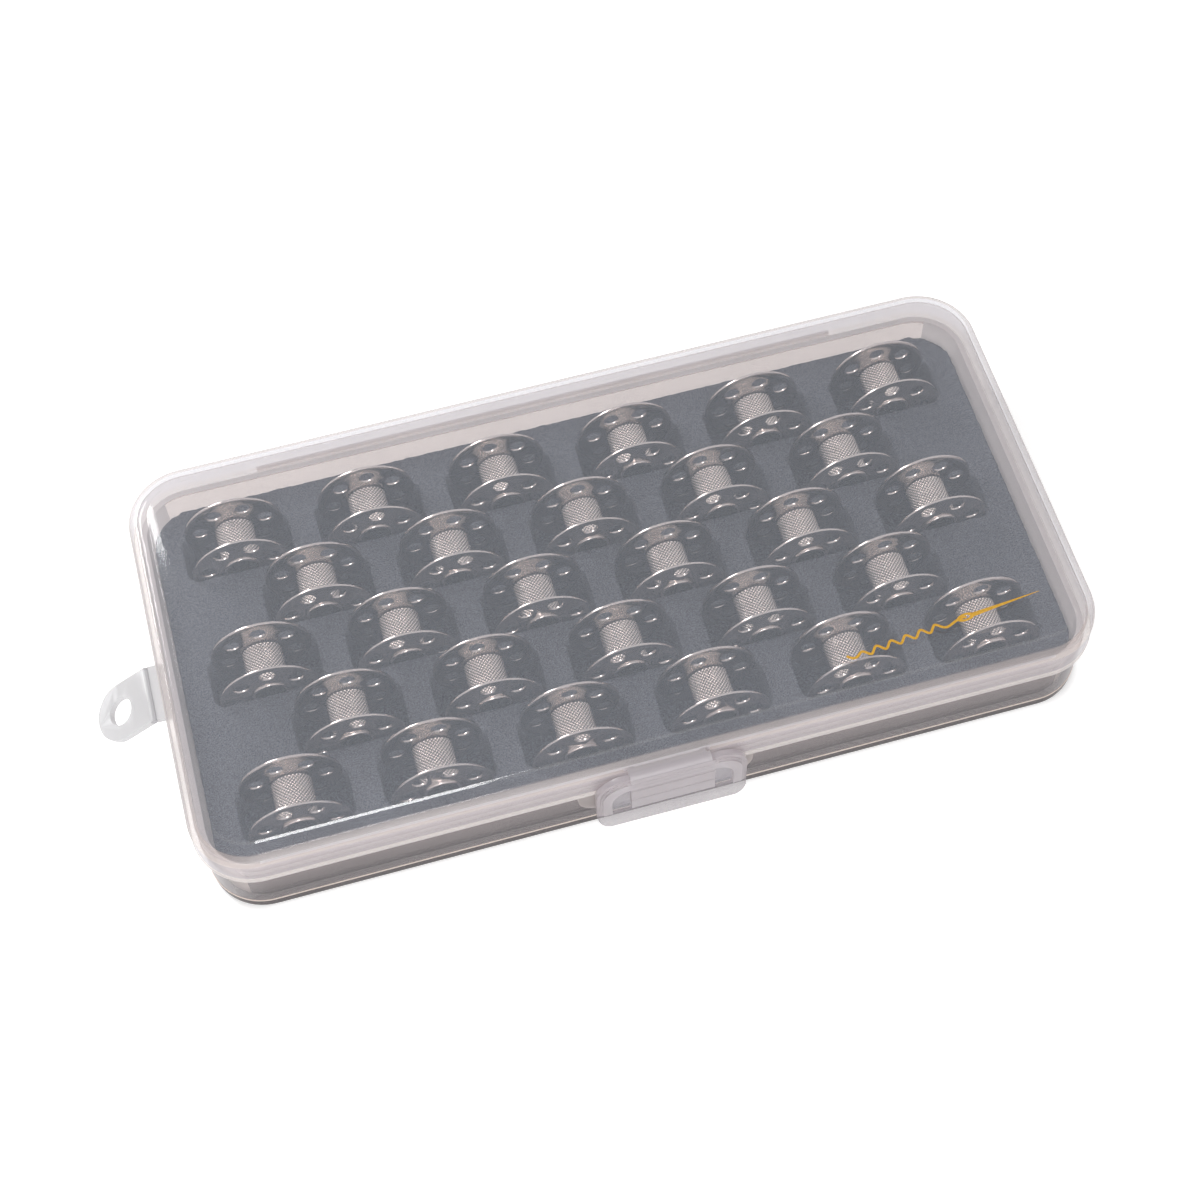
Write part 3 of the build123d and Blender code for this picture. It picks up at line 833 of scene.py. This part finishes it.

# %% [markdown]
# ### The knurl
# A knurl is two sets of fine helical grooves that cross and leave rounded diamonds. The hub gets a
# grid of vertices, and each is raised by its distance from the nearest groove: not at all on a
# groove, by seven tenths half-way to a diamond's middle, and fully there. How high each one stands
# is also kept in an attribute, which the steel uses further down to paint shade into the grooves.

# %% Hub
HUB_RADIUS, HUB_BORE, KNURL_ROUND, KNURL_ROWS = 3.85, 3.0, 128, 48
KNURL_LEVELS = {0.5: 1.042, 1.0: 1.060}     # share of the way up a diamond, and the swelling
HUB_HALF = HALF_LENGTH - SHEET
hub = rod("hub", HUB_RADIUS, 2 * HUB_HALF, (0, 0, 0), "Y", KNURL_ROUND)
edit(hub)
pick_edges(hub, lambda a, b: abs(a.y - b.y) > 5)
bpy.ops.mesh.subdivide(number_cuts=KNURL_ROWS - 1)
for share, swell in KNURL_LEVELS.items():
    bpy.ops.mesh.select_mode(type="VERT")
    bpy.ops.mesh.select_all(action="DESELECT")
    mesh = bmesh.from_edit_mesh(hub.data)
    for vertex in mesh.verts:
        x, y, z = vertex.co / MM
        around = round(math.atan2(z, x) / (2 * math.pi) * KNURL_ROUND) / 2
        along = round((y + HUB_HALF) / (2 * HUB_HALF) * KNURL_ROWS) / 2
        height = min(abs((around + along) % 2 - 1), abs((around - along) % 2 - 1))
        vertex.select_set(abs(height - share) < 0.01 and 1 <= along <= KNURL_ROWS / 2 - 1)
    bmesh.update_edit_mesh(hub.data)
    bpy.ops.transform.resize(value=(swell, 1, swell), center_override=(0, 0, 0))
pick_faces(hub, lambda c, n: abs(n.y) < 0.5)
bpy.ops.mesh.quads_convert_to_tris(quad_method="SHORTEST_DIAGONAL")
deselect_all()
combine(hub, rod("bore", HUB_BORE, 14, (0, 0, 0), "Y", 36), "DIFFERENCE")
smooth(hub, 60)

# %% Relief of the knurl
RELIEF = "knurl_relief"     # 0 in a groove and 1 on a diamond
relief = hub.data.attributes.new(RELIEF, "FLOAT", "POINT")
for vertex, stored in zip(hub.data.vertices, relief.data):
    radius = math.hypot(vertex.co.x, vertex.co.z) / MM
    stored.value = min(max((radius / HUB_RADIUS - 1) / (KNURL_LEVELS[1.0] - 1), 0), 1)
print("diamonds round the hub:", KNURL_ROUND // 4)

# %% [markdown]
# ### The rolled ends
# The hub's tube is rolled over outside each flange, and that roll is a small ring. A copy
# helper mirrors a flange or a ring for the other end. Mirroring can turn a mesh inside out,
# so the copy's normals are recalculated.

# %% Rolled ends, and copies
ROLL_MAJOR, ROLL_MINOR = 3.42, 0.42
deselect_all()
bpy.ops.mesh.primitive_torus_add(
    major_radius=ROLL_MAJOR * MM, minor_radius=ROLL_MINOR * MM, major_segments=40,
    minor_segments=10, location=(0, -HALF_LENGTH * MM, 0), rotation=(math.pi / 2, 0, 0))
rim = bpy.context.object
rim.name = "rolled_end"
bake_place()
smooth(rim, 60)


def steel_copy(source, mirrored=False):
    """A copy with its own mesh, mirrored front to back if asked, with its faces outwards."""
    copy = source.copy()
    copy.data = source.data.copy()
    bpy.context.collection.objects.link(copy)
    if mirrored:
        activate(copy)
        copy.scale = (1, -1, 1)
        bake_place()
        edit(copy)
        bpy.ops.mesh.select_all(action="SELECT")
        bpy.ops.mesh.normals_make_consistent(inside=False)
        deselect_all()
    return copy


print("one bobbin's parts:", *(len(part.data.polygons) for part in (flange, hub, rim)), "faces")

# %% [markdown]
# ## Materials
# Each finish starts from what the real one is and how its surface was made. Polypropylene
# copolymer is milky, not clear: each wall lets most light through and scatters the rest,
# more of it where the wall is seen at a slant. A true volume would be slow in so thin a
# part, so the wall's surface does it: a share is milk, which scatters to both sides, the
# rest is clear, and a soft gloss lies over both.
#
# Its IOR is 1.49. The roughness says how the steel of the mould was finished: polished for
# the panel, plain for the walls, etched for the rim. Below, haze is the share of milk where
# a wall is seen square on, slant is what comes on top at a grazing angle, and through tints
# the light that passes.

# %% Polypropylene
PASSED_ON = 0.35        # share of the scattered light that leaves on the far side
FLOW_SCALE = 65.0       # flow marks from the mould, about 15 mm across
GRAIN_SCALE = 2000.0    # the mould's fine grain, drawn at 0.5 mm so that it shows


def polypropylene(name, haze, slant, tint, gloss_rough=0.18, through="fbfafa", gloss_share=0.04):
    """Thin milky plastic: a share of scattered white, the rest clear, under a soft gloss."""
    material, tree = new_material(name)
    place = add_node(tree, "ShaderNodeTexCoord")
    flow = add_node(tree, "ShaderNodeTexNoise", {"Scale": FLOW_SCALE, "Detail": 3.0},
                    Vector=place.outputs["Object"])
    cloud = add_node(tree, "ShaderNodeMapRange", {"To Min": 0.88, "To Max": 1.12},
                     Value=flow.outputs[0])
    grain = add_node(tree, "ShaderNodeTexNoise", {"Scale": GRAIN_SCALE, "Detail": 2.0},
                     Vector=place.outputs["Object"])
    bump = add_node(tree, "ShaderNodeBump", {"Strength": 0.12, "Distance": 0.00003},
                    Height=grain.outputs[0])
    weight = add_node(tree, "ShaderNodeLayerWeight", {"Blend": 0.5})
    steep = add_node(tree, "ShaderNodeMath", {"operation": "POWER", 1: 5.0},
                     _0=weight.outputs["Facing"])
    share = add_node(tree, "ShaderNodeMath", {"operation": "MULTIPLY_ADD", 1: slant, 2: haze},
                     _0=steep.outputs[0])
    share = add_node(tree, "ShaderNodeMath", {"operation": "MULTIPLY", "use_clamp": True},
                     _0=share.outputs[0], _1=cloud.outputs[0])
    milk = add_node(tree, "ShaderNodeBsdfPrincipled",
                    {"Base Color": colour(tint), "Roughness": 0.35, "IOR": 1.49},
                    Normal=bump.outputs[0])
    glow = add_node(tree, "ShaderNodeBsdfTranslucent", {"Color": colour(tint)})
    milk = add_node(tree, "ShaderNodeMixShader", {0: PASSED_ON},
                    _1=milk.outputs[0], _2=glow.outputs[0])
    clear = add_node(tree, "ShaderNodeBsdfTransparent", {"Color": colour(through)})
    body = add_node(tree, "ShaderNodeMixShader",
                    _0=share.outputs[0], _1=clear.outputs[0], _2=milk.outputs[0])
    mirror = add_node(tree, "ShaderNodeMath", {"operation": "MULTIPLY_ADD", 1: 0.5, 2: gloss_share},
                      _0=steep.outputs[0])
    gloss = add_node(tree, "ShaderNodeBsdfGlossy",
                     {"Color": colour("ffffff"), "Roughness": gloss_rough}, Normal=bump.outputs[0])
    show(tree, add_node(tree, "ShaderNodeMixShader", _0=mirror.outputs[0], _1=body.outputs[0],
                        _2=gloss.outputs[0]).outputs[0])
    return material


print("polypropylene passes on", PASSED_ON, "of what it scatters")

# %% [markdown]
# ### Its finishes on the lid
# The panel is thin and polished, so it is the clearest part and a little blue. The rim and shoulder
# are etched and thick, and the shoulder has a darker copy of the rim's colour, painted shade for
# the dim band on the upper rounding. The skirt has a darker, bluer copy, painted shade for the dim
# band along it. The lower lip of the skirt has the tray's lip behind it, and two walls look twice
# as milky as one; its brighter finish also paints the bright line along the lip.

# %% Finishes of the lid
panel_plastic = polypropylene("polypropylene_polished_panel", 0.088, 0.45, "dee9fc", 0.08)
edge_plastic = polypropylene("polypropylene_polished_edge", 0.10, 0.45, "e4e9f4", 0.06,
                             gloss_share=0.065)
rim_plastic = polypropylene("polypropylene_milky_rim", 0.27, 0.60, "f0e6e2", 0.42, "fbf9f8")
# Painted shade: a darker copy of the rim's finish, for the dim band on the upper rounding.
shoulder_painted_shade = polypropylene("polypropylene_lid_shoulder_painted_shade", 0.24, 0.60, "dcd4d6", 0.42,
                                 "fbf9f8")
# Painted shade: a darker, bluer copy of the rim's finish, for the dim band along the skirt.
skirt_painted_shade = polypropylene("polypropylene_lid_skirt_painted_shade", 0.17, 0.60, "d0ced9", 0.40, "fbfafc")
# Partly real, partly painted highlight: two walls are milkier than one, and the brighter finish
# also paints the bright line along the lip.
skirt_lip_milk_and_highlight = polypropylene("polypropylene_lid_lip_doubled_painted_highlight", 0.42, 0.50, "f8f3f1", 0.40,
                                  "fbf9f8")
print(len(bpy.data.materials), "materials with the lid's")

# %% [markdown]
# ### Its finishes on the tray, the tab and the latch
# The tray's wall is thin and clear. The top of its wall is seen end on, through far more plastic,
# so it is nearly white. Its bead is a near-white beige, a painted highlight for the line of light
# along the tray's foot, and the band below it lets through only a dark grey, painted shade for what
# is seen through it. The hang tab and the latch's strap are solid and thick, the fold is a darker
# grey, and the latch's windows are thin. The latch's lip is a darker grey too, painted shade for
# the shadow seen through it.

# %% Finishes of the tray, the tab and the latch
tray_plastic = polypropylene("polypropylene_tray_wall", 0.085, 0.90, "f2edf1", 0.18, "f1ebe8")
tab_plastic = polypropylene("polypropylene_hang_tab_solid", 0.62, 0.30, "dcdcde", 0.30)
fold_darker_plastic = polypropylene("polypropylene_fold_darker_grey", 0.62, 0.30, "a6a6aa", 0.30)
lip_top_plastic = polypropylene("polypropylene_wall_seen_end_on", 0.85, 0.10, "eae4e2", 0.30)
# Painted highlight: the bead's near-white beige is the line of light along the tray's foot.
bead_painted_highlight = polypropylene("polypropylene_tray_bead_painted_highlight", 0.92, 0.05, "fdeee4", 0.30)
# Painted shade: the dark grey passed through the tray's lowest band stands in for the shadow and
# foam seen through it.
base_painted_shade = polypropylene("polypropylene_tray_base_painted_shade", 0.10, 0.25, "e6dcda", 0.18, "8c888b")
latch_plastic = polypropylene("polypropylene_latch_moulded", 0.42, 0.30, "d2cbd0", 0.30)
# Painted shade: a darker grey copy of the latch's finish, for the shadow seen through the lip.
latch_lip_painted_shade = polypropylene("polypropylene_latch_lip_painted_shade", 0.34, 0.30, "aea8ae", 0.30)
strap_plastic = polypropylene("polypropylene_latch_strap_thick", 0.66, 0.25, "d0cace", 0.34)
window_plastic = polypropylene("polypropylene_latch_window_thin", 0.16, 0.25, "dde2ee", 0.20)
print(len(bpy.data.materials), "materials so far")

# %% [markdown]
# ### Gold ink
# Pad-printing ink with brass flake dries to a soft metal gloss, a little uneven in cover.
# The flake is far too fine to show, so its clouds are drawn 0.4 mm across.

# %% Gold ink
gold_ink, tree = new_material("gold_pad_printing_ink")
place = add_node(tree, "ShaderNodeTexCoord")
flake = add_node(tree, "ShaderNodeTexNoise", {"Scale": 2600.0, "Detail": 2.0},
                 Vector=place.outputs["Object"])
cover = add_node(tree, "ShaderNodeValToRGB", {"stops": ((0.3, "c8922a"), (0.7, "e2b03e"))},
                 Fac=flake.outputs[0])
show(tree, add_node(tree, "ShaderNodeBsdfPrincipled", {"Metallic": 0.35, "Roughness": 0.42},
                    Base_Color=cover.outputs[0]).outputs[0])
print("made", gold_ink.name)

# %% [markdown]
# ### Dark grey foam
# Polyethylene foam, skived to a sheet: the blade opens its cells, so the surface is dull and
# finely speckled, light on the cell walls and dark in the pits. The cells are about a
# quarter of a millimetre across.

# %% Foam finish
foam_grey, tree = new_material("polyethylene_foam_skived")
place = add_node(tree, "ShaderNodeTexCoord")
cells = add_node(tree, "ShaderNodeTexVoronoi", {"Scale": 3600.0}, Vector=place.outputs["Object"])
speck = add_node(tree, "ShaderNodeTexNoise", {"Scale": 4400.0, "Detail": 1.0, "Roughness": 0.5},
                 Vector=place.outputs["Object"])
tone = add_node(tree, "ShaderNodeValToRGB", {"stops": ((0.36, "404248"), (0.66, "7c7f86"))},
                Fac=speck.outputs[0])
pits = add_node(tree, "ShaderNodeBump", {"Strength": 0.35, "Distance": 0.0001},
                Height=cells.outputs[0])
show(tree, add_node(tree, "ShaderNodeBsdfPrincipled",
                    {"Roughness": 0.95, "Specular IOR Level": 0.2},
                    Base_Color=tone.outputs[0], Normal=pits.outputs[0]).outputs[0])
print("made", foam_grey.name)

# %% [markdown]
# ### Bobbin steel
# Low-carbon steel, pressed and nickel plated. Nickel is a warm grey mirror that is never quite
# even: the plating follows the rolled sheet, so the roughness wanders a little. The knurl is
# rougher, and its grooves get painted shade: their colour is darkened for the shade that falls
# between the diamonds. The relief attribute made with the hub tells the grooves from the diamonds.

# %% Bobbin steel
SHEET_GRAIN = 700.0     # patches of the rolled sheet, about 1.4 mm across


def nickel(name, tint, dull, groove_shade=None):
    """Plated steel with a faint rolled grain, and painted shade in a knurl's grooves if given."""
    material, tree = new_material(name)
    place = add_node(tree, "ShaderNodeTexCoord")
    grain = add_node(tree, "ShaderNodeTexNoise", {"Scale": SHEET_GRAIN, "Detail": 4.0},
                     Vector=place.outputs["Object"])
    rough = add_node(tree, "ShaderNodeMapRange", {"To Min": dull - 0.06, "To Max": dull + 0.08},
                     Value=grain.outputs[0])
    steel = add_node(tree, "ShaderNodeBsdfPrincipled",
                     {"Base Color": colour(tint), "Metallic": 1.0}, Roughness=rough.outputs[0])
    # Painted shade: the colour darkens in the knurl's grooves, where shade falls between the
    # diamonds.
    if groove_shade:
        relief = add_node(tree, "ShaderNodeAttribute", {"attribute_name": RELIEF})
        tone = add_node(tree, "ShaderNodeValToRGB", {"stops": ((0.0, groove_shade), (0.7, tint))},
                        Fac=relief.outputs["Fac"])
        tree.links.new(tone.outputs[0], steel.inputs["Base Color"])
    show(tree, steel.outputs[0])
    return material


flange_steel = nickel("nickel_plated_steel_pressed", "cbc2bd", 0.15)
# Painted shade in the knurl's grooves.
knurl_steel = nickel("nickel_plated_steel_knurled", "f2e9e2", 0.24, groove_shade="464240")
print(len(bpy.data.materials), "materials")

# %% [markdown]
# ## Dress the pieces and let them ride
# A piece rides on the body of the node that it replaces, so it moves with the joint.

# %% Case pieces


def dress(piece, material):
    """Give a piece one material only."""
    piece.data.materials.clear()
    piece.data.materials.append(material)


for piece, material, slot_name, body, node in (
        (lid_shell, rim_plastic, "case", "lid", "lid"),
        (tray_shell, tray_plastic, "case", "base", "tray"),
        (front_latch, latch_plastic, "latch", "latch", "front_latch"),
        (tab, tab_plastic, "case", "hang_tab", "hang_tab"),
        (foam, foam_grey, "foam", "base", "foam_insert"),
        (backing, foam_grey, "foam", "base", "foam_backing")):
    dress(piece, material)
    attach(piece, body)
    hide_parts(node)
    print(piece.name, "rides", body, "in place of", node)
dress(thread, gold_ink)
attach(thread, "lid")
dress(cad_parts["rear_hinge_web"], rim_plastic)

# %% [markdown]
# ### Polished and milky parts of the mouldings
# One moulding has several finishes, partly because its mould has, and partly as darker and brighter
# copies of one finish that paint the bands of light and shade on it. The faces of each are picked
# by where they are and which way they look, and given a material slot of their own. A later finish
# takes faces from an earlier one.

# %% Finishes on the lid


def finish_faces(piece, material, test):
    """Give the faces that pass a test their own finish."""
    piece.data.materials.append(material)
    edit(piece)
    pick_faces(piece, test)
    piece.active_material_index = len(piece.data.materials) - 1
    bpy.ops.object.material_slot_assign()
    count = sum(polygon.select for polygon in bmesh.from_edit_mesh(piece.data).faces)
    deselect_all()
    print(f"{material.name}: {count} faces of {piece.name}")


SHOULDER_LOW, INSIDE_BACK = 21.2, 43
finish_faces(lid_shell, panel_plastic,
             lambda c, n: c.z > RIM_TOP + NEAR or n.z > 0.98 or (n.z < -0.85 and c.z > 21))
# Painted shade on the upper rounding.
finish_faces(lid_shell, shoulder_painted_shade, lambda c, n: 0.6 < n.z < 0.98 and c.z > SHOULDER_LOW)
# Painted shade along the skirt's outer wall.
finish_faces(lid_shell, skirt_painted_shade, lambda c, n: abs(n.z) < 0.05
             and DOUBLED_TOP < c.z < SHOULDER_LOW + 0.1 and edge_reach(c) > -0.4)
# Painted highlight along the skirt's lower lip, over the doubled walls.
finish_faces(lid_shell, skirt_lip_milk_and_highlight, lambda c, n: c.z < DOUBLED_TOP and c.y < INSIDE_BACK)
finish_faces(lid_shell, edge_plastic, lambda c, n: c.z > RIM_TOP + NEAR and 0.3 < n.z < 0.98)
finish_faces(lid_shell, strap_plastic, lambda c, n: abs(c.x) < ROOT_HALF + 0.1 and c.y < -44.5
             and 21 < c.z < PANEL_UNDERSIDE - 0.03)

# %% Finishes on the latch and its fold
finish_faces(front_latch, window_plastic,
             lambda c, n: n.y < -0.99 and abs(c.y - PLATE_FRONT - FIELD_DEPTH) < 0.02)
# Painted shade on the latch's lip.
finish_faces(front_latch, latch_lip_painted_shade, lambda c, n: c.z < HOOK_LOW + 0.1)
finish_faces(front_latch, strap_plastic, lambda c, n: abs(c.x - LATCH_SHIFT) < STRAP_HALF + 0.1
             and c.y < PLATE_FRONT - 0.5 and c.z > 9)
dress(latch_fold, strap_plastic)
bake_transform(latch_fold)

# %% Finishes on the tray and the tab
# Painted shade on the tray's lowest band.
finish_faces(tray_shell, base_painted_shade, lambda c, n: c.z < BEAD_LOW - 0.15)
# Painted highlight on the bead.
finish_faces(tray_shell, bead_painted_highlight,
             lambda c, n: BEAD_LOW - 0.05 < c.z < BEAD_TOP + 0.05 and tray_outside(c))
finish_faces(tray_shell, lip_top_plastic, lambda c, n: (n.z > 0.9 and c.z > LIP_TOP - 0.1)
             or (abs(n.x) > 0.5 and abs(c.x) > 80 and not tray_outside(c)
                 and c.z > FLOOR_TOP + FLOOR_ROUND))
finish_faces(tray_shell, rim_plastic,
             lambda c, n: TRAY_TOP - 0.3 < c.z < LIP_TOP - 0.1 or c.y < -TRAY_Y - 0.1)
finish_faces(tray_shell, tab_plastic, lambda c, n: c.x < -TRAY_X - 0.2)
finish_faces(tab, fold_darker_plastic, lambda c, n: c.x > TAB_PIVOT[0] - 0.72)

# %% [markdown]
# ## Set out the bobbins
# Bobbins are dropped in by hand, so each stands turned its own way. A fixed turn from one
# to the next looks as uneven as that, and stays the same on each run. Each bobbin is one
# mesh of its own: the hub, two flanges and two rolled ends.

# %% Bobbins
TURN_START, TURN_STEP = 0.5, 35.5
for part, material in ((flange, flange_steel), (rim, flange_steel), (hub, knurl_steel)):
    dress(part, material)
for number, (x, y) in enumerate(places, start=1):
    bobbin = steel_copy(hub)
    join(bobbin, [steel_copy(flange), steel_copy(flange, True), steel_copy(rim),
                  steel_copy(rim, True)])
    bobbin.name = f"bobbin_piece_{number:02d}"
    bobbin.rotation_euler = (0, math.radians(TURN_START + TURN_STEP * number), 0)
    bobbin.location = (x * MM, y * MM, AXIS_Z * MM)
    bake_place()
    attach(bobbin, "base")
    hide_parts(f"bobbin_{number:02d}")
for part in (flange, rim, hub):
    bpy.data.objects.remove(part, do_unlink=True)
print(len(places), "bobbins of", len(bobbin.data.polygons), "faces")
